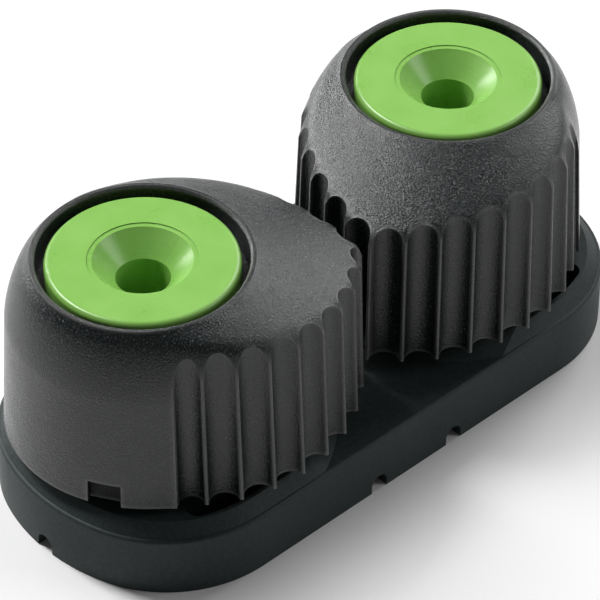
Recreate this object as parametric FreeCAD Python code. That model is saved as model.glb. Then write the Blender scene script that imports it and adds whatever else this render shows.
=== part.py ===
"""A double cam cleat for rope: two spring-loaded fluted cams on one moulded base.

Each cam turns on a flanged hub, on two rows of balls, and a torsion spring
closes it. Screws through the hubs hold the cleat to a deck. All lengths are in
millimetres and all angles in degrees. X runs along the base, the rope runs
along Y, and the underside of the base is at Z = 0, centred on the origin.
"""
import FreeCAD, Part
import math
import os

from FreeCAD import Vector

# Driving dimensions of the whole cleat
HUB_SPACING = 38.0
SCREW_HOLE_D = 5.0
CAM_BACK_R = 13.1
ROPE_OPEN_ANGLE = 65.0

# Base plate
END_MARGIN = 0.38
SIDE_WALL = 1.82
END_BOW = 4.95
CORNER_FLAT = 2.35
HUB_OFFSET = 0.97
DECK_HEIGHT = 6.3
SEAT_RISE = 1.2
SEAT_MARGIN = 2.2
SEAT_RAMP = 2.1
SEAT_EDGE_RAMP = 1.1
BASE_EDGE_ROUND = 0.35
BASE_WALL = 2.2
BASE_ROOF = 3.1
SCREW_BOSS_R = 7.4
BASE_RIB = 1.8
DRAIN_WIDTH = 1.9
DRAIN_HEIGHT = 1.7
DRAIN_SPACING = 9.6

# Hub, as a flanged bush that the screw passes through
HUB_R = 6.0
HUB_SPIGOT_R = 5.0
HUB_SPIGOT_DEPTH = 4.4
HUB_SHOULDER_RISE = 0.5
HUB_COLLAR_R = 6.6
HUB_TOP = 26.35
FLANGE_R = 8.8
FLANGE_THICKNESS = 2.4
FLANGE_ROUND = 0.5
COUNTERSINK_R = 4.55
COUNTERSINK_STEP_R = 5.0
COUNTERSINK_STEP = 0.1

# Balls between hub and cam
BALL_D = 3.0
BALL_CIRCLE_R = 6.9
BALL_SINK = 0.6
BALLS_PER_ROW = 12
BALL_CLEARANCE = 0.03
LOWER_BALLS_Z = 15.6
UPPER_BALLS_Z = 20.4

# Cam plan: it rises from the round back to the nose along a spiral on each side
CAM_FOOT_GAP = 0.8
CAM_RIM_Z = 26.7
NOSE_ANGLE = -25.3
NOSE_GAP = 0.36
FRONT_SWEEP = 93.5
GRIP_SWEEP = 98.0
GRIP_CURVE = 1.7
NOSE_ROUND = 0.6
SWEEP_BLEND = 0.5
BACK_DRAFT = 2.8
NOSE_DRAFT = 1.4
OUTLINE_POINTS = 72

# Cam shoulder above the flutes
RIM_WIDTH = 0.5
RIM_EDGE = 0.2
SHOULDER_START_Z = 20.3
SHOULDER_CURVE = 1.5
SHOULDER_SLOPE = 0.38
SHOULDER_BLEND = 1.0
SHOULDER_STEPS = 13

# Flutes, with the hollows' pitch along the front and the grip side
FRONT_PITCH = 3.38
GRIP_PITCH = 3.45
GRIP_FLUTED_SWEEP = 80.0
FLUTE_DEPTH = 1.3
VALLEY_LEAN = 0.5
RIDGE_HALF_WIDTH = 0.24
RIDGE_FALL = 0.18
RIDGE_INSET = 0.12
END_FLUTE_SHARE = 0.9
END_FLUTE_LOSS = 0.3

# Cam bore and stop
FLANGE_GAP_R = 0.8
FLANGE_GAP_Z = 0.3
STOP_WALL = 1.6
STOP_OVERHANG = 0.8
STOP_START = -50.0
STOP_WIDTH = 16.0
STOP_DEPTH = 3.2
STOP_GAP = 0.3
STOP_ROUND = 1.0
SLOT_ROUND = 1.2
BACK_PATCH_ANGLE = -148.5
BACK_PATCH_WIDTH = 3.1
BACK_PATCH_HEIGHT = 2.4
BACK_PATCH_DEPTH = 0.8

# Torsion spring
SPRING_WIRE_D = 1.1
SPRING_COIL_R = 7.9
SPRING_PITCH = 1.3
SPRING_TURNS = 1.75
SPRING_LEG = 2.6
SPRING_GAP = 0.3
SPRING_CHAMBER_R = 9.3

# Small fits
FIT_GAP = 0.05
MOVING_GAP = 0.3

# Sizes that follow
HALF_SPACING = HUB_SPACING / 2
SEAT_Z = DECK_HEIGHT + SEAT_RISE
CAM_FOOT_Z = SEAT_Z + CAM_FOOT_GAP
HUB_SHOULDER_Z = SEAT_Z + HUB_SHOULDER_RISE
FLANGE_Z = HUB_TOP - FLANGE_THICKNESS
NOSE_R = (HALF_SPACING - NOSE_GAP / 2) / math.cos(math.radians(NOSE_ANGLE)) + RIDGE_INSET
RIM_BORE_R = FLANGE_R + FLANGE_GAP_R
RIM_R = RIM_BORE_R + RIM_WIDTH
CAM_BORE_R = BALL_CIRCLE_R + BALL_D / 2 - BALL_SINK
STOP_INNER_R = CAM_BACK_R - STOP_WALL
STOP_OUTER_R = CAM_BACK_R + STOP_OVERHANG
STOP_SLOT_INNER_R = STOP_INNER_R - STOP_GAP
STOP_SLOT_OUTER_R = STOP_OUTER_R + STOP_GAP
SEAT_R = CAM_BACK_R + SEAT_MARGIN
BASE_LENGTH = HUB_SPACING + 2 * (CAM_BACK_R + END_MARGIN)
BASE_WIDTH = 2 * (STOP_SLOT_OUTER_R - HUB_OFFSET + SIDE_WALL)
BASE_END_R = BASE_WIDTH / 2 + END_BOW
BASE_CORNER_R = BASE_WIDTH / 2 - CORNER_FLAT
SPRING_BOTTOM_Z = SEAT_Z + SPRING_GAP + SPRING_WIRE_D / 2
SPRING_TOP_Z = SPRING_BOTTOM_Z + SPRING_PITCH * SPRING_TURNS
CHAMBER_TOP_Z = SPRING_TOP_Z + SPRING_WIRE_D / 2 + SPRING_GAP
ABOVE = 3.0
BELOW = 1.0
UP = Vector(0, 0, 1)


def polar(radius, angle, z=0.0):
    """A point at a radius and an angle round the pivot."""
    turn = math.radians(angle)
    return Vector(radius * math.cos(turn), radius * math.sin(turn), z)


def cylinder(radius, z_low, z_high):
    """An upright cylinder round the pivot."""
    return Part.makeCylinder(radius, z_high - z_low, Vector(0, 0, z_low))


def ring_sector(inner_r, outer_r, start, end, z_low, z_high, corner_r):
    """A block bent round the pivot from one angle to another, with round upright corners."""
    middle = (start + end) / 2
    outer = Part.Arc(polar(outer_r, start, z_low), polar(outer_r, middle, z_low), polar(outer_r, end, z_low))
    inner = Part.Arc(polar(inner_r, end, z_low), polar(inner_r, middle, z_low), polar(inner_r, start, z_low))
    sides = [
        Part.makeLine(polar(inner_r, start, z_low), polar(outer_r, start, z_low)),
        Part.makeLine(polar(outer_r, end, z_low), polar(inner_r, end, z_low)),
    ]
    wire = Part.Wire([sides[0], outer.toShape(), sides[1], inner.toShape()])
    block = Part.Face(wire).extrude(UP * (z_high - z_low))
    upright = [edge for edge in block.Edges if edge.BoundBox.ZLength > z_high - z_low - 0.01]
    return block.makeFillet(corner_r, upright)


def turned(profile):
    """A solid of revolution round the pivot from a closed list of (radius, z) corners."""
    corners = [Vector(radius, 0, z) for radius, z in profile]
    face = Part.Face(Part.makePolygon(corners + corners[:1]))
    return face.revolve(Vector(0, 0, 0), UP, 360)


def base_outline(inset):
    """The base seen from above: straight sides, round corners and bowed ends."""
    half_length = BASE_LENGTH / 2 - inset
    half_width = BASE_WIDTH / 2 - inset
    end_r = BASE_END_R - inset
    corner_r = BASE_CORNER_R - inset
    end_x = half_length - end_r
    corner_y = half_width - corner_r
    corner_x = end_x + math.sqrt((end_r - corner_r) ** 2 - corner_y ** 2)
    lean = math.atan2(corner_y, corner_x - end_x)
    mid = (lean + math.pi / 2) / 2
    meet = Vector(end_x + end_r * math.cos(lean), end_r * math.sin(lean), 0)
    bend = Vector(corner_x + corner_r * math.cos(mid), corner_y + corner_r * math.sin(mid), 0)
    side = Vector(corner_x, half_width, 0)

    def flip(point, sx, sy):
        return Vector(point.x * sx, point.y * sy, 0)

    edges = []
    for sx in (1, -1):
        tip = Vector(half_length * sx, 0, 0)
        edges.append(Part.Arc(flip(meet, sx, -sx), tip, flip(meet, sx, sx)).toShape())
        edges.append(Part.Arc(flip(meet, sx, sx), flip(bend, sx, sx), flip(side, sx, sx)).toShape())
        edges.append(Part.makeLine(flip(side, sx, sx), flip(side, -sx, sx)))
        edges.append(Part.Arc(flip(side, -sx, sx), flip(bend, -sx, sx), flip(meet, -sx, sx)).toShape())
    return Part.Wire(edges)


def base_prism(inset, z_low, z_high):
    """The base outline as an upright block."""
    block = Part.Face(base_outline(inset)).extrude(UP * (z_high - z_low))
    block.translate(UP * z_low)
    return block


def seats():
    """The two round seats under the cams, with a ramp down to the deck and to the base's edge."""
    foot = base_outline(BASE_EDGE_ROUND)
    foot.translate(UP * DECK_HEIGHT)
    brow = base_outline(BASE_EDGE_ROUND + SEAT_EDGE_RAMP)
    brow.translate(UP * SEAT_Z)
    crown = Part.makeLoft([foot, brow], True, True)
    left = Part.makeCone(SEAT_R + SEAT_RAMP, SEAT_R, SEAT_RISE, UP * DECK_HEIGHT)
    return [crown.common(at_left(left)), crown.common(at_right(left))]


def drain_notch(length):
    """An arched notch along Y, standing on Z = 0."""
    radius = DRAIN_WIDTH / 2
    arch = Part.makeCylinder(radius, length, Vector(0, 0, DRAIN_HEIGHT - radius), Vector(0, 1, 0))
    legs = Part.makeBox(DRAIN_WIDTH, length, DRAIN_HEIGHT - radius)
    legs.translate(Vector(-radius, 0, 0))
    return arch.fuse(legs)


def underside_hollow():
    """The moulded hollow below the deck, around the screw bosses and cross ribs."""
    hollow = base_prism(BASE_WALL, 0, DECK_HEIGHT - BASE_ROOF)
    for side in (-1, 0, 1):
        rib = Part.makeBox(BASE_RIB, BASE_WIDTH, DECK_HEIGHT)
        rib.translate(Vector(side * HALF_SPACING - BASE_RIB / 2, -BASE_WIDTH / 2, 0))
        hollow = hollow.cut(rib)
        if side:
            boss = cylinder(SCREW_BOSS_R, 0, DECK_HEIGHT)
            boss.translate(Vector(side * HALF_SPACING, HUB_OFFSET, 0))
            hollow = hollow.cut(boss)
    return hollow


def base_pocket():
    """What is cut into the base at the left hub: stop slot, hub socket and screw hole."""
    slot = ring_sector(
        STOP_SLOT_INNER_R, STOP_SLOT_OUTER_R, stop_slot_end(), stop_slot_start(),
        SEAT_Z - STOP_DEPTH - MOVING_GAP, SEAT_Z + ABOVE, SLOT_ROUND)
    socket = cylinder(HUB_SPIGOT_R + FIT_GAP, HUB_SHOULDER_Z - HUB_SPIGOT_DEPTH - FIT_GAP, SEAT_Z + ABOVE)
    hole = cylinder(SCREW_HOLE_D / 2, -BELOW, SEAT_Z + ABOVE)
    leg_hole = cylinder(SPRING_WIRE_D / 2 + FIT_GAP, SEAT_Z - SPRING_LEG - FIT_GAP, SEAT_Z + ABOVE)
    leg_hole.translate(Vector(SPRING_COIL_R, 0, 0))
    return slot.fuse(socket).fuse(hole).fuse(leg_hole)


def stop_slot_start():
    """The slot's end beside the stop when the cam is closed."""
    return STOP_START + STOP_WIDTH + math.degrees(STOP_GAP / STOP_OUTER_R)


def stop_slot_end():
    """The slot's end beside the stop when the cam is fully open."""
    return STOP_START - ROPE_OPEN_ANGLE - math.degrees(STOP_GAP / STOP_OUTER_R)


def base():
    """The moulded base with two round seats, a hollow underside and drain notches."""
    body = base_prism(0, 0, DECK_HEIGHT)
    top_edges = [edge for edge in body.Edges if edge.BoundBox.ZMin > DECK_HEIGHT - 0.01]
    body = body.makeFillet(BASE_EDGE_ROUND, top_edges)
    collar = cylinder(HUB_COLLAR_R, SEAT_Z - BELOW, HUB_SHOULDER_Z)
    body = body.fuse(seats() + [at_left(collar), at_right(collar)])
    body = body.cut(underside_hollow())
    body = body.cut(at_left(base_pocket()))
    body = body.cut(at_right(base_pocket()))
    for side in (-1, 1):
        cross = drain_notch(BASE_WIDTH + 2 * BELOW)
        cross.translate(Vector(side * DRAIN_SPACING / 2, -BASE_WIDTH / 2 - BELOW, 0))
        body = body.cut(cross)
        end = drain_notch(2 * BASE_WALL)
        end.rotate(Vector(0, 0, 0), UP, -90)
        end.translate(Vector(side * BASE_LENGTH / 2 - BASE_WALL, 0, 0))
        body = body.cut(end)
    return body.removeSplitter()


def hub():
    """The flanged bush: spigot, body with two ball grooves, flange and countersink."""
    hole_r = SCREW_HOLE_D / 2
    cone_top = HUB_TOP - COUNTERSINK_STEP
    profile = [
        (hole_r, HUB_SHOULDER_Z - HUB_SPIGOT_DEPTH),
        (HUB_SPIGOT_R, HUB_SHOULDER_Z - HUB_SPIGOT_DEPTH),
        (HUB_SPIGOT_R, HUB_SHOULDER_Z),
        (HUB_R, HUB_SHOULDER_Z),
        (HUB_R, FLANGE_Z),
        (FLANGE_R, FLANGE_Z),
        (FLANGE_R, HUB_TOP),
        (COUNTERSINK_STEP_R, HUB_TOP),
        (COUNTERSINK_STEP_R, cone_top),
        (COUNTERSINK_R, cone_top),
        (hole_r, cone_top - (COUNTERSINK_R - hole_r)),
    ]
    body = turned(profile)
    rim = [edge for edge in body.Edges
           if abs(edge.BoundBox.ZMin - HUB_TOP) < 0.01 and edge.BoundBox.XMax > FLANGE_R - 0.01]
    body = body.makeFillet(FLANGE_ROUND, rim)
    for z in (LOWER_BALLS_Z, UPPER_BALLS_Z):
        body = body.cut(ball_groove(z))
    return body


def ball_groove(z):
    """The round track that a row of balls runs in, cut into hub and cam alike."""
    return Part.makeTorus(BALL_CIRCLE_R, BALL_D / 2 + BALL_CLEARANCE, Vector(0, 0, z), UP)


def ball_row(z):
    """One row of loose balls round the hub."""
    balls = []
    for index in range(BALLS_PER_ROW):
        centre = polar(BALL_CIRCLE_R, 360 * index / BALLS_PER_ROW, z)
        balls.append(Part.makeSphere(BALL_D / 2, centre))
    return Part.makeCompound(balls)


def cam_radius(angle, blend=0.0):
    """The cam's foot radius: it falls from the nose along each spiral to the round back."""
    rise = NOSE_R - CAM_BACK_R
    front = rise * (1 + (angle - NOSE_ANGLE) / FRONT_SWEEP) + blend / 2
    share = 1 - (angle - NOSE_ANGLE) / GRIP_SWEEP
    grip = rise * math.copysign(abs(share) ** GRIP_CURVE, share) + blend / 2
    lobe = (front + grip - math.hypot(front - grip, blend)) / 2
    return CAM_BACK_R + (lobe + math.hypot(lobe, SWEEP_BLEND)) / 2


def draft_loss(angle, z):
    """How much narrower the wall is at a height than at its foot: most round the back."""
    share = (cam_radius(angle) - CAM_BACK_R) / (NOSE_R - CAM_BACK_R)
    draft = BACK_DRAFT + (NOSE_DRAFT - BACK_DRAFT) * share
    return (z - CAM_FOOT_Z) * math.tan(math.radians(draft))


def shoulder_inset(z):
    """How far the wall has curved inward at a height above the start of the shoulder."""
    share = min(1.0, max(0.0, (z - SHOULDER_START_Z) / (CAM_RIM_Z - SHOULDER_START_Z)))
    full = CAM_BACK_R - draft_loss(NOSE_ANGLE + 180, CAM_RIM_Z) - RIM_R
    return full * (1 - (1 - share ** SHOULDER_CURVE) ** (1 / SHOULDER_CURVE))


def form_radius(angle, z):
    """The smooth cam's radius: its drafted and curved wall, or the sloping top where that is less."""
    wall = cam_radius(angle, NOSE_ROUND) - draft_loss(angle, z) - shoulder_inset(z)
    top = RIM_R + (CAM_RIM_Z - z) / SHOULDER_SLOPE
    spare = wall - RIM_R
    room = top - RIM_R
    blend = SHOULDER_BLEND * min(1.0, room / SHOULDER_BLEND)
    return RIM_R + (spare + room - math.hypot(spare - room, blend)) / 2


def level_outline(z):
    """The smooth outline round the cam's ridges at one height."""
    points = []
    for step in range(OUTLINE_POINTS):
        angle = NOSE_ANGLE + 360 * (step / OUTLINE_POINTS - 0.5)
        points.append(polar(max(form_radius(angle, z), RIM_R), angle, z))
    curve = Part.BSplineCurve()
    curve.interpolate(points, PeriodicFlag=True)
    return Part.Wire(curve.toShape())


def cam_form():
    """The smooth cam before its flutes: a straight drafted wall and a curved shoulder above it."""
    step = (CAM_RIM_Z - SHOULDER_START_Z) / SHOULDER_STEPS
    heights = [SHOULDER_START_Z + step * index for index in range(SHOULDER_STEPS + 1)]
    wall = Part.makeLoft([level_outline(CAM_FOOT_Z), level_outline(SHOULDER_START_Z)], True, True)
    shoulder = Part.makeLoft([level_outline(z) for z in heights], True, False, False, 3)
    return wall.fuse(shoulder)


def ridge_angles():
    """Ridges a fixed pitch apart on each side of the nose, with a narrower flute at each end."""
    angles = [NOSE_ANGLE]
    for way, sweep, pitch in ((-1, FRONT_SWEEP, FRONT_PITCH), (1, GRIP_FLUTED_SWEEP, GRIP_PITCH)):
        side = []
        angle = NOSE_ANGLE
        step = 0.0
        while abs(angle - NOSE_ANGLE) + step < sweep:
            slope = math.degrees(cam_radius(angle + way) - cam_radius(angle))
            step = math.degrees(pitch / math.hypot(cam_radius(angle), slope))
            angle = angle + way * step
            side.append(angle)
        side.append(side[-1] + way * step * END_FLUTE_SHARE)
        angles.extend(side)
    return sorted(angles)


def fluted_wire(angles, z):
    """The cam's outline: a hollow between each two rounded ridges, closed wide round the back."""
    tips = [polar(cam_radius(angle) - RIDGE_INSET - draft_loss(angle, z), angle, z) for angle in angles]
    lean = (z - CAM_FOOT_Z) * math.tan(math.radians(VALLEY_LEAN))
    hollows = []
    for index in range(len(tips) - 1):
        along = tips[index + 1] - tips[index]
        share = min(1.0, along.Length / FRONT_PITCH)
        loss = draft_loss((angles[index] + angles[index + 1]) / 2, z)
        middle = (tips[index] + tips[index + 1]) / 2
        along.normalize()
        inward = UP.cross(along)
        shift = along * RIDGE_HALF_WIDTH * share
        fall = inward * RIDGE_FALL * share
        depth = max(FLUTE_DEPTH - END_FLUTE_LOSS * (1 - share) - loss + lean, 2 * RIDGE_FALL * share)
        hollows.append((tips[index] + shift + fall, middle + inward * depth, tips[index + 1] - shift + fall))
    edges = [Part.makeLine(tips[0], hollows[0][0])]
    for index, (start, valley, end) in enumerate(hollows):
        edges.append(Part.Arc(start, valley, end).toShape())
        if index < len(hollows) - 1:
            edges.append(Part.Arc(end, tips[index + 1], hollows[index + 1][0]).toShape())
    edges.append(Part.makeLine(hollows[-1][2], tips[-1]))
    wide_r = CAM_BACK_R + ABOVE
    start = polar(wide_r, angles[0], z)
    end = polar(wide_r, angles[-1], z)
    round_back = polar(wide_r, (angles[0] + angles[-1]) / 2 + 180, z)
    edges.append(Part.makeLine(tips[-1], end))
    edges.append(Part.Arc(end, round_back, start).toShape())
    edges.append(Part.makeLine(start, tips[0]))
    return Part.Wire(edges)


def flutes():
    """The fluted block that the cam's form is trimmed to."""
    angles = ridge_angles()
    return Part.makeLoft(
        [fluted_wire(angles, CAM_FOOT_Z - BELOW / 10), fluted_wire(angles, CAM_RIM_Z + ABOVE)], True, True)


def cam_bore():
    """The hollow round the hub: spring chamber, ball tracks and flange recess."""
    bore = cylinder(CAM_BORE_R, CAM_FOOT_Z - BELOW, CAM_RIM_Z + BELOW)
    bore = bore.fuse(cylinder(SPRING_CHAMBER_R, CAM_FOOT_Z - BELOW, CHAMBER_TOP_Z))
    bore = bore.fuse(cylinder(RIM_BORE_R, FLANGE_Z - FLANGE_GAP_Z, CAM_RIM_Z + BELOW))
    lead = Part.makeCone(RIM_BORE_R, RIM_BORE_R + RIM_EDGE, RIM_EDGE, Vector(0, 0, CAM_RIM_Z - RIM_EDGE))
    bore = bore.fuse(lead)
    for z in (LOWER_BALLS_Z, UPPER_BALLS_Z):
        bore = bore.fuse(ball_groove(z))
    return bore


def leg_slot():
    """The slot in the cam that takes the spring's upper leg."""
    width = SPRING_WIRE_D + 2 * MOVING_GAP
    slot = Part.makeBox(SPRING_COIL_R + SPRING_LEG + MOVING_GAP, width, CHAMBER_TOP_Z - CAM_FOOT_Z + BELOW)
    slot.translate(Vector(0, -width / 2, CAM_FOOT_Z - BELOW))
    slot.rotate(Vector(0, 0, 0), UP, spring_end_angle(-1))
    return slot


def back_patch():
    """The small sunk rectangle at the foot of the cam's round back."""
    patch = Part.makeBox(2 * BACK_PATCH_DEPTH, BACK_PATCH_WIDTH, BACK_PATCH_HEIGHT + BELOW)
    patch.translate(Vector(CAM_BACK_R - BACK_PATCH_DEPTH, -BACK_PATCH_WIDTH / 2, CAM_FOOT_Z - BELOW))
    patch.rotate(Vector(0, 0, 0), UP, BACK_PATCH_ANGLE)
    return patch


def cam():
    """The left cam, closed, with the fluted lobe, the bore and the stop below it."""
    body = cam_form().common(flutes())
    body = body.cut(cam_bore()).cut(leg_slot()).cut(back_patch())
    stop = ring_sector(
        STOP_INNER_R, STOP_OUTER_R, STOP_START, STOP_START + STOP_WIDTH,
        SEAT_Z - STOP_DEPTH, CAM_FOOT_Z + BELOW, STOP_ROUND)
    return body.fuse(stop).removeSplitter()


def spring_end_angle(hand):
    """Where the coil ends, counted round the pivot: clockwise for hand -1, the left spring."""
    return hand * 360 * SPRING_TURNS


def spring(hand):
    """The torsion spring: coil, a leg down into the base and a leg out into the cam."""
    wire_r = SPRING_WIRE_D / 2
    height = SPRING_PITCH * SPRING_TURNS
    helix = Part.makeHelix(SPRING_PITCH, height, SPRING_COIL_R, 0, hand < 0)
    start = Vector(SPRING_COIL_R, 0, 0)
    section = Part.Wire(Part.makeCircle(wire_r, start, Vector(0, 1, 0)))
    coil = Part.Wire(helix).makePipeShell([section], True, True)
    coil.translate(UP * SPRING_BOTTOM_Z)
    start = start + UP * SPRING_BOTTOM_Z
    end = polar(SPRING_COIL_R, spring_end_angle(hand), SPRING_TOP_Z)
    outward = polar(1, spring_end_angle(hand))
    lower = Part.makeCylinder(wire_r, start.z - SEAT_Z + SPRING_LEG, start, -UP)
    upper = Part.makeCylinder(wire_r, SPRING_LEG, end, outward)
    elbows = [Part.makeSphere(wire_r, start), Part.makeSphere(wire_r, end)]
    return coil.fuse([lower, upper] + elbows)


def at_left(shape):
    """A copy of a piece that was drawn round the origin, at the left hub."""
    copy = shape.copy()
    copy.translate(Vector(-HALF_SPACING, HUB_OFFSET, 0))
    return copy


def at_right(shape):
    """The mirror image of a piece, at the right hub."""
    return at_left(shape).mirror(Vector(0, 0, 0), Vector(1, 0, 0))


def main():
    """Write each piece to its own STEP file."""
    os.makedirs("parts", exist_ok=True)
    pieces = {
        "hub": hub(),
        "cam": cam(),
        "lower_balls": ball_row(LOWER_BALLS_Z),
        "upper_balls": ball_row(UPPER_BALLS_Z),
    }
    right_spring = spring(1)
    right_spring.rotate(Vector(0, 0, 0), UP, 180)
    right_spring.translate(Vector(HALF_SPACING, HUB_OFFSET, 0))
    nodes = {"base": base(), "left_spring": at_left(spring(-1)), "right_spring": right_spring}
    for name, shape in pieces.items():
        nodes["left_" + name] = at_left(shape)
        nodes["right_" + name] = at_right(shape)
    for name, shape in nodes.items():
        shape.exportStep("parts/" + name + ".step")
        print(name, "volume", round(shape.Volume, 1), "solids", len(shape.Solids), "valid", shape.isValid())


main()
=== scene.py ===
# %% [markdown]
# # A double cam cleat
# Two fluted cams turn on green hubs and grip a rope between them. Every shape
# comes from the CAD parts, so this lesson is about how they look: the speckled
# composite of the cams, the matt plastic of the base, the green hubs, and light.
# The parts are loaded first, and their box is kept to shape the floor around the base.

# %% Load the parts
import math

import bpy
from mathutils import Matrix, Vector


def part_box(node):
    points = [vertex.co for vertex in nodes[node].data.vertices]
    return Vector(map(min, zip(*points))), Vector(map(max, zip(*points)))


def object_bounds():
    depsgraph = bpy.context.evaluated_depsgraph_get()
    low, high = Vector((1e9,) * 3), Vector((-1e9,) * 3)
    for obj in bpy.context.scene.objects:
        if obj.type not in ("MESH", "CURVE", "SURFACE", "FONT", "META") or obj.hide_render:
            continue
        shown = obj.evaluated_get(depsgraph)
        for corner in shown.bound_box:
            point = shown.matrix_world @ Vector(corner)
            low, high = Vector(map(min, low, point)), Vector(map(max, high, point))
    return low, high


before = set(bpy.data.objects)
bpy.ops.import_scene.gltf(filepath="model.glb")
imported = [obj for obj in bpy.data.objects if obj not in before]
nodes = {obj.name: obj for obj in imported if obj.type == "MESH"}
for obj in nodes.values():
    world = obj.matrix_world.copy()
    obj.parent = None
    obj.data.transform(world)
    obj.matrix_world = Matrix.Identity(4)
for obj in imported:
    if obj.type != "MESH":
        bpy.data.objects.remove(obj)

cad_low, cad_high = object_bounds()
print("parts:", sorted(nodes))
print("size in mm:", [round(1000 * side, 2) for side in cad_high - cad_low])

# %% [markdown]
# Everything on a cam or hub is round its pivot, so the two pivots are found first.
# They could be typed in, but a hub is a turned piece, so the middle of its box is
# its axis, and taking it from there keeps this file right when the part changes.

# %% Find the pivots
hub_low, hub_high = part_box("left_hub")
pivot_x = -(hub_low[0] + hub_high[0]) / 2
pivot_y = (hub_low[1] + hub_high[1]) / 2
print("pivots", round(1000 * pivot_x, 2), "mm each side, at y", round(1000 * pivot_y, 2), "mm")

# %% [markdown]
# Every finish here is a shader network, so a few short helpers keep the cells
# readable. Patterns read Object coordinates, which are metres from the middle of
# the cleat, so a grain a fifth of a millimetre wide needs a scale of about 5000.

# %% Helpers that add nodes
def new_finish(name):
    finish = bpy.data.materials.new(name)
    finish.use_nodes = True
    return finish, finish.node_tree, finish.node_tree.nodes["Principled BSDF"]


def add_node(tree, kind, **settings):
    node = tree.nodes.new(kind)
    for key, value in settings.items():
        setattr(node, key, value)
    return node


def math_node(tree, operation, first, second=None):
    node = add_node(tree, "ShaderNodeMath", operation=operation)
    for socket, value in zip(node.inputs, (first, second)):
        if isinstance(value, (int, float)):
            socket.default_value = value
        elif value is not None:
            tree.links.new(value, socket)
    return node.outputs["Value"]


print("node helpers ready")

# %% [markdown]
# A pattern starts as a place on the object. Noise turns the place into a grey
# value, and a colour ramp turns that value into colours. The place is also split
# into x, y and z, for marks that belong to one spot and not to the whole surface.

# %% Helpers for places, noise and ramps
def object_place(tree):
    return add_node(tree, "ShaderNodeTexCoord").outputs["Object"]


def split_place(tree, place):
    split = add_node(tree, "ShaderNodeSeparateXYZ")
    tree.links.new(place, split.inputs["Vector"])
    return split.outputs["X"], split.outputs["Y"], split.outputs["Z"]


def noise(tree, place, scale, detail=2.0, roughness=0.5):
    node = add_node(tree, "ShaderNodeTexNoise")
    node.inputs["Scale"].default_value = scale
    node.inputs["Detail"].default_value = detail
    node.inputs["Roughness"].default_value = roughness
    tree.links.new(place, node.inputs["Vector"])
    return node.outputs["Fac"]


def colour_ramp(tree, factor, stops):
    node = add_node(tree, "ShaderNodeValToRGB")
    tree.links.new(factor, node.inputs["Fac"])
    while len(node.color_ramp.elements) < len(stops):
        node.color_ramp.elements.new(0.5)
    for element, (position, colour) in zip(node.color_ramp.elements, stops):
        element.position = position
        element.color = (*colour, 1.0)
    return node.outputs["Color"]


def grey_ramp(tree, factor, stops):
    return colour_ramp(tree, factor, [(position, (grey,) * 3) for position, grey in stops])


print("pattern helpers ready")

# %% [markdown]
# A finish ends in the same few links each time: a colour, a roughness, and a bump
# that lifts the grain by a few hundredths of a millimetre. A mix puts one colour
# over another where a mask is white.

# %% Helpers that finish a surface
def cover(tree, mask, below, colour):
    node = add_node(tree, "ShaderNodeMix", data_type="RGBA")
    node.inputs["B"].default_value = (*colour, 1.0)
    tree.links.new(mask, node.inputs["Factor"])
    tree.links.new(below, node.inputs["A"])
    return node.outputs["Result"]


def add_bump(tree, shader, height, depth, strength):
    node = add_node(tree, "ShaderNodeBump")
    node.inputs["Distance"].default_value = depth
    node.inputs["Strength"].default_value = strength
    tree.links.new(height, node.inputs["Height"])
    tree.links.new(node.outputs["Normal"], shader.inputs["Normal"])


def from_pivot(tree, x, y):
    outward = math_node(tree, "SUBTRACT", math_node(tree, "ABSOLUTE", x), pivot_x)
    return outward, math_node(tree, "SUBTRACT", y, pivot_y)


print("surface helpers ready")

# %% [markdown]
# The cams are moulded in a filled composite. Close up it is nearly black, with
# fine grey grains in its skin. One noise could give either many soft grains or a
# few hard ones. A ramp with four stops gives both: most of the skin stays dark,
# and the top of the noise makes small pale grains.

# %% Cam composite: the grain
CAM_GRAIN_SCALE = 5800.0
HANDLED_PATCH_SCALE = 160.0

cam_finish, tree, shader = new_finish("cam_composite")
place = object_place(tree)
grain = noise(tree, place, CAM_GRAIN_SCALE, 2.0, 0.6)
patches = noise(tree, place, HANDLED_PATCH_SCALE, 3.0)
cam_colour = colour_ramp(tree, grain, [
    (0.34, (0.0028, 0.0050, 0.0052)),
    (0.50, (0.0065, 0.0098, 0.0101)),
    (0.62, (0.0210, 0.0248, 0.0243)),
    (0.74, (0.0750, 0.0755, 0.0730)),
])
print("grain", round(1000 / CAM_GRAIN_SCALE, 2), "mm")

# %% [markdown]
# At the foot of each cam's round back is a small sunk patch. The recess is in the
# CAD part, and its floor gets painted shade here: a near-black colour and a nearly
# black mirror colour stand in for the shadow inside the recess. The mask is a small
# box turned round the pivot, 31.5 degrees from the line through both pivots. The x
# distance is taken as its size, so one mask serves both cams.

# %% Cam composite: painted shade in the sunk patch
PATCH_TURN = math.radians(31.5)
PATCH_HALF_WIDTH = 0.00160
PATCH_FLOOR_REACH = 0.01245
PATCH_TOP_Z = 0.0112

x, y, z = split_place(tree, place)
outward, across = from_pivot(tree, x, y)
reach = math_node(tree, "SUBTRACT", math_node(tree, "MULTIPLY", outward, math.cos(PATCH_TURN)),
                  math_node(tree, "MULTIPLY", across, math.sin(PATCH_TURN)))
sideways = math_node(tree, "ADD", math_node(tree, "MULTIPLY", outward, math.sin(PATCH_TURN)),
                     math_node(tree, "MULTIPLY", across, math.cos(PATCH_TURN)))
within_sides = math_node(tree, "LESS_THAN", math_node(tree, "ABSOLUTE", sideways), PATCH_HALF_WIDTH)
within_reach = math_node(tree, "LESS_THAN", reach, PATCH_FLOOR_REACH)
below_top = math_node(tree, "LESS_THAN", z, PATCH_TOP_Z)
painted_recess_shade = math_node(tree, "MULTIPLY", math_node(tree, "MULTIPLY", within_sides, within_reach), below_top)
# painted shade: the floor of the sunk patch is coloured near black
cam_colour = cover(tree, painted_recess_shade, cam_colour, (0.0025, 0.0035, 0.0035))
print("sunk patch floor inside", 1000 * PATCH_FLOOR_REACH, "mm of the pivot")
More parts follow.
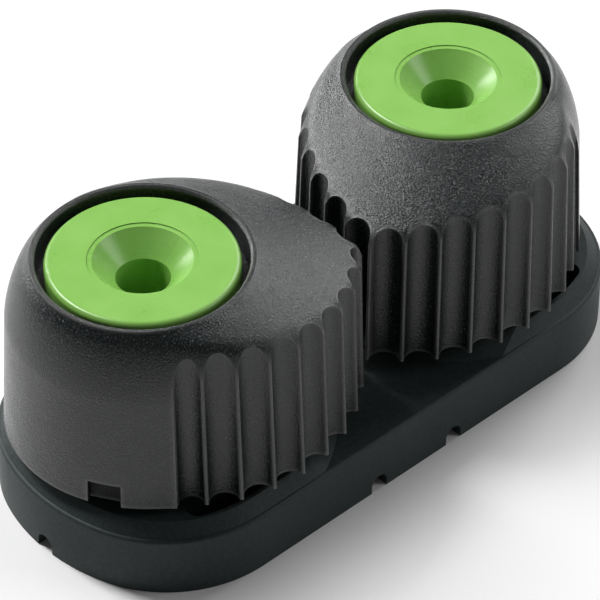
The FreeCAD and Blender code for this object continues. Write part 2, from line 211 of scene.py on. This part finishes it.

# %% [markdown]
# Rope and hands polish the ridges and rims to a paler grey, and the same pale grey
# is also a painted highlight: it stands in for the thin bright lines that the lamps
# put along the ridges. Painting them would need a map. Instead an ambient occlusion
# node looks inwards: just behind a sharp edge it soon meets the other side, so it
# finds the edges by itself.

# %% Cam composite: worn edges and painted highlight
WORN_AND_HIGHLIT_EDGE_DEPTH = 0.00050

edge = add_node(tree, "ShaderNodeAmbientOcclusion", inside=True, only_local=True, samples=8)
edge.inputs["Distance"].default_value = WORN_AND_HIGHLIT_EDGE_DEPTH
worn_and_highlit = math_node(tree, "SUBTRACT", 1.0, edge.outputs["AO"])
unevenly = math_node(tree, "ADD", math_node(tree, "MULTIPLY", patches, 1.2), 0.4)
worn_and_highlit = math_node(tree, "MULTIPLY", worn_and_highlit, unevenly)
# partly wear, partly painted highlight: the ridges and rims are coloured a paler grey
cam_colour = cover(tree, worn_and_highlit, cam_colour, (0.180, 0.183, 0.177))
print("edges worn", 1000 * WORN_AND_HIGHLIT_EDGE_DEPTH, "mm in")

# %% [markdown]
# The skin is fairly glossy and the grains stand up from it, so a highlight breaks
# up into sparkle. The broad noise makes the gloss uneven, as handling does. The
# floor of the sunk patch has its mirror colour turned nearly black, which is painted shade.

# %% Cam composite: gloss and relief
tree.links.new(cam_colour, shader.inputs["Base Color"])
tree.links.new(grey_ramp(tree, patches, [(0.3, 0.17), (0.7, 0.26)]), shader.inputs["Roughness"])
# painted shade: the mirror colour inside the sunk patch is nearly black
tree.links.new(grey_ramp(tree, painted_recess_shade, [(0.0, 1.0), (1.0, 0.10)]), shader.inputs["Specular Tint"])
shader.inputs["Specular IOR Level"].default_value = 0.50
add_bump(tree, shader, grain, 0.00010, 0.75)
print("made", cam_finish.name)

# %% [markdown]
# The base is moulded in a plain, matt plastic, dark with a breath of blue-green.
# Its colour hardly changes, so the look is in a faint orange peel and in a gloss
# that varies slowly from place to place. Bump from the same noise as the colour
# keeps the two in step, as on a moulded skin, and is cheaper than a second noise.

# %% Base plastic
BASE_SKIN_SCALE = 2600.0
BASE_GLOSS_SCALE = 90.0

base_finish, tree, shader = new_finish("base_plastic")
place = object_place(tree)
skin = noise(tree, place, BASE_SKIN_SCALE)
dull_patches = noise(tree, place, BASE_GLOSS_SCALE, 3.0)
tree.links.new(colour_ramp(tree, skin, [
    (0.40, (0.0235, 0.0325, 0.0320)),
    (0.62, (0.0310, 0.0410, 0.0400)),
]), shader.inputs["Base Color"])
tree.links.new(grey_ramp(tree, dull_patches, [(0.3, 0.46), (0.7, 0.56)]), shader.inputs["Roughness"])
shader.inputs["Specular IOR Level"].default_value = 0.22
add_bump(tree, shader, skin, 0.00003, 0.5)
print("made", base_finish.name, "with skin", round(1000 / BASE_SKIN_SCALE, 2), "mm")

# %% [markdown]
# The hubs are bright green plastic. A cutter left faint rings on top, and the
# rings follow the distance from the pivot. A ring texture could be centred on one
# hub only, so the distance is worked out from the place, which serves both.

# %% Green hub plastic: the turning rings
TURNING_RING_PITCH = 0.0004
TURNING_RING_HEIGHT = 0.12

hub_finish, tree, shader = new_finish("hub_green")
place = object_place(tree)
x, y, _ = split_place(tree, place)
outward, across = from_pivot(tree, x, y)
squares = math_node(tree, "ADD", math_node(tree, "POWER", outward, 2.0),
                    math_node(tree, "POWER", across, 2.0))
turns = math_node(tree, "MULTIPLY", math_node(tree, "SQRT", squares), 2 * math.pi / TURNING_RING_PITCH)
rings = math_node(tree, "MULTIPLY", math_node(tree, "SINE", turns), TURNING_RING_HEIGHT)
print("rings every", 1000 * TURNING_RING_PITCH, "mm")

# %% [markdown]
# The green is cloudy by a few percent, as coloured plastic is, and smudged where
# fingers and tools touch it. A little light sinks in, which softens the edges.
# A paler colour would look chalky instead, so the depth comes from subsurface.

# %% Green hub plastic: colour and gloss
HUB_CLOUD_SCALE = 260.0
HUB_PEEL_SCALE = 3000.0

cloud = noise(tree, place, HUB_CLOUD_SCALE, 3.0)
tree.links.new(colour_ramp(tree, cloud, [
    (0.35, (0.205, 0.438, 0.084)),
    (0.65, (0.225, 0.466, 0.097)),
]), shader.inputs["Base Color"])
tree.links.new(grey_ramp(tree, cloud, [(0.3, 0.26), (0.7, 0.34)]), shader.inputs["Roughness"])
shader.inputs["Subsurface Weight"].default_value = 0.08
shader.inputs["Subsurface Radius"].default_value = (0.0006, 0.0012, 0.0004)
peel = noise(tree, place, HUB_PEEL_SCALE)
add_bump(tree, shader, math_node(tree, "ADD", rings, peel), 0.00002, 0.5)
print("made", hub_finish.name)

# %% [markdown]
# The balls that the cams roll on are polished steel, bright and even, with only a
# thin film of grease to vary the gloss. A full set of scratches could be made, but
# they are mostly hidden, so one noise drives the colour, the gloss and the relief.

# %% Ball steel
GREASE_FILM_SCALE = 700.0

ball_finish, tree, shader = new_finish("ball_steel")
film = noise(tree, object_place(tree), GREASE_FILM_SCALE)
tree.links.new(grey_ramp(tree, film, [(0.3, 0.56), (0.7, 0.66)]), shader.inputs["Base Color"])
tree.links.new(grey_ramp(tree, film, [(0.3, 0.10), (0.7, 0.18)]), shader.inputs["Roughness"])
shader.inputs["Metallic"].default_value = 1.0
add_bump(tree, shader, film, 0.000002, 0.3)
print("made", ball_finish.name)

# %% [markdown]
# The springs that close the cams are drawn wire, duller than the balls, with a
# fine grain that the drawing leaves. Lines along the wire would need its path, and
# a fine noise can't be told from them at this size.

# %% Spring wire
DRAWN_GRAIN_SCALE = 1800.0

wire_finish, tree, shader = new_finish("spring_wire")
drawn = noise(tree, object_place(tree), DRAWN_GRAIN_SCALE, 3.0)
tree.links.new(grey_ramp(tree, drawn, [(0.3, 0.42), (0.7, 0.55)]), shader.inputs["Base Color"])
tree.links.new(grey_ramp(tree, drawn, [(0.3, 0.28), (0.7, 0.42)]), shader.inputs["Roughness"])
shader.inputs["Metallic"].default_value = 1.0
add_bump(tree, shader, drawn, 0.00001, 0.5)
print("made", wire_finish.name)

# %% [markdown]
# Each CAD part keeps its shape and only takes a finish. The parts are named by
# side and kind, so the end of a name says which finish it needs, and a part that
# is added later takes its finish with no new line here.

# %% Give each part its finish
FINISHES = {
    "base": base_finish,
    "cam": cam_finish,
    "hub": hub_finish,
    "balls": ball_finish,
    "spring": wire_finish,
}

for name, node in nodes.items():
    finish = FINISHES[name.split("_")[-1]]
    node.data.materials.clear()
    node.data.materials.append(finish)
    print(name, "->", finish.name)

# %% [markdown]
# The camera stands 41 degrees above the deck, in front and to the left, and far
# off with a long lens, so the two hubs come out nearly the same size. Its turn is
# built from three directions, right, up and back, which are the columns of its
# matrix. This is surer than typing three angles and guessing their order.

# %% Camera directions
CAMERA_AZIMUTH, CAMERA_ELEVATION, CAMERA_ROLL = (math.radians(angle) for angle in (-43.19, 41.16, 0.16))

back = Vector((
    math.sin(CAMERA_AZIMUTH) * math.cos(CAMERA_ELEVATION),
    -math.cos(CAMERA_AZIMUTH) * math.cos(CAMERA_ELEVATION),
    math.sin(CAMERA_ELEVATION),
))
level_right = (-back).cross(Vector((0, 0, 1))).normalized()
level_up = level_right.cross(-back)
right = level_right * math.cos(CAMERA_ROLL) + level_up * math.sin(CAMERA_ROLL)
up = level_up * math.cos(CAMERA_ROLL) - level_right * math.sin(CAMERA_ROLL)
print("the camera looks along", [round(value, 3) for value in -back])

# %% [markdown]
# The lens then fills the frame with the cleat. The small shift moves the picture
# without turning the camera, so the upright edges keep their slope. Aiming off
# centre would frame the cleat as well, but would change that slope.

# %% Camera
CAMERA_DISTANCE = 0.36998
AIM_HEIGHT = 0.012
LENS = 237.97
SENSOR_WIDTH = 36.0
SHIFT_X, SHIFT_Y = 0.00145, -0.02578

aim = Vector((0, pivot_y, AIM_HEIGHT))
camera = bpy.data.objects.new("camera", bpy.data.cameras.new("camera"))
bpy.context.scene.collection.objects.link(camera)
turn = Matrix((right, up, back)).transposed().to_4x4()
turn.translation = aim + back * CAMERA_DISTANCE
camera.matrix_world = turn
camera.data.sensor_width = SENSOR_WIDTH
camera.data.lens = LENS
camera.data.shift_x = SHIFT_X
camera.data.shift_y = SHIFT_Y
camera.data.clip_start = 0.01
camera.data.clip_end = 10.0
bpy.context.scene.camera = camera
print("camera at", [round(value, 3) for value in camera.location])

# %% [markdown]
# The studio is a pale floor under soft boxes. The floor is one large plane, a
# hair below the base, so that the two faces never share a place and flicker. A
# curved backdrop isn't needed, because the camera looks down and sees no horizon.

# %% Floor
FLOOR_SIZE = 6.0
FLOOR_DROP = 0.00002

bpy.ops.object.select_all(action="DESELECT")
bpy.ops.mesh.primitive_plane_add(size=FLOOR_SIZE, location=(0, 0, -FLOOR_DROP))
floor = bpy.context.object
floor.name = "floor"
print(floor.name, FLOOR_SIZE, "m wide")

# %% [markdown]
# Close to the cleat the floor is an ordinary pale surface, so it takes a true
# shadow. Further off the picture should be white, and a stronger lamp would spoil
# the cleat, so the floor gives off a little light of its own instead, only to the
# camera and to reflections. The distance from the base's outline blends the two.

# %% Floor: distance from the base
BLEND_WIDTH = 0.014

floor_finish, tree, shader = new_finish("pale_floor")
x, y, _ = split_place(tree, object_place(tree))
half_width = cad_high[1]
beyond = math_node(tree, "SUBTRACT", math_node(tree, "ABSOLUTE", x), cad_high[0] - half_width)
beyond = math_node(tree, "MAXIMUM", beyond, 0.0)
squares = math_node(tree, "ADD", math_node(tree, "POWER", beyond, 2.0), math_node(tree, "POWER", y, 2.0))
away = add_node(tree, "ShaderNodeMapRange", interpolation_type="SMOOTHSTEP")
away.inputs["From Min"].default_value = half_width
away.inputs["From Max"].default_value = half_width + BLEND_WIDTH
tree.links.new(math_node(tree, "SQRT", squares), away.inputs["Value"])
print("the floor turns white over", 1000 * BLEND_WIDTH, "mm")

# %% [markdown]
# The floor's own colour falls as its glow rises, so both zones come out equally
# pale. It has no gloss to speak of, or the cleat would be mirrored in it.

# %% Floor: colour and glow
NEAR_AND_FAR_GREY = [(0.0, 0.84), (1.0, 0.32)]
FAR_GLOW = 0.62

floor_grey = grey_ramp(tree, away.outputs["Result"], NEAR_AND_FAR_GREY)
tree.links.new(floor_grey, shader.inputs["Base Color"])
ray = add_node(tree, "ShaderNodeLightPath")
mirrored = math_node(tree, "MAXIMUM", ray.outputs["Is Glossy Ray"], ray.outputs["Is Transmission Ray"])
seen = math_node(tree, "MAXIMUM", ray.outputs["Is Camera Ray"], mirrored)
glow = math_node(tree, "MULTIPLY", away.outputs["Result"], FAR_GLOW)
tree.links.new(math_node(tree, "MULTIPLY", seen, glow), shader.inputs["Emission Strength"])
shader.inputs["Emission Color"].default_value = (1.0, 1.0, 1.0, 1.0)
shader.inputs["Roughness"].default_value = 0.9
shader.inputs["Specular IOR Level"].default_value = 0.1
floor.data.materials.append(floor_finish)
print("made", floor_finish.name)

# %% [markdown]
# Dark plastic shows its form mostly by what it mirrors, so each box stands where
# a surface mirrors it to the camera: the key behind and above for the shoulders,
# a low one behind for the rims and ridges, one to the right for the flat tops,
# and a weak one in front for the edge of the deck. The near walls stay dim.

# %% Soft boxes
BOX_DISTANCE = 0.70


def soft_box(name, direction, width, height, power):
    lamp = bpy.data.lights.new(name, "AREA")
    lamp.shape = "RECTANGLE"
    lamp.size = width
    lamp.size_y = height
    lamp.energy = power
    box = bpy.data.objects.new(name, lamp)
    bpy.context.scene.collection.objects.link(box)
    way = Vector(direction).normalized()
    box.location = aim + way * BOX_DISTANCE
    box.rotation_euler = way.to_track_quat("Z", "Y").to_euler()
    print(name, "at", [round(value, 2) for value in box.location])


soft_box("key_box", (-0.16, 0.60, 0.78), 0.16, 0.36, 5.2)
soft_box("low_box", (0.02, 0.97, 0.24), 0.46, 0.16, 2.7)
soft_box("side_box", (0.80, 0.14, 0.58), 0.40, 0.50, 2.7)
soft_box("front_box", (0.62, -0.62, 0.48), 0.30, 0.30, 1.0)

# %% [markdown]
# The room adds a dim, even light, so that no shadow is quite black. A picture of
# a room could do the same, but a plain colour gives the same result each time.
# The plain Standard view shows colours about as they are written.

# %% Room light
ROOM_LEVEL = 0.10

world = bpy.data.worlds.new("studio")
bpy.context.scene.world = world
world.use_nodes = True
background = world.node_tree.nodes["Background"]
background.inputs["Color"].default_value = (1.0, 1.0, 1.0, 1.0)
background.inputs["Strength"].default_value = ROOM_LEVEL
bpy.context.scene.view_settings.view_transform = "Standard"
print("room light", ROOM_LEVEL)
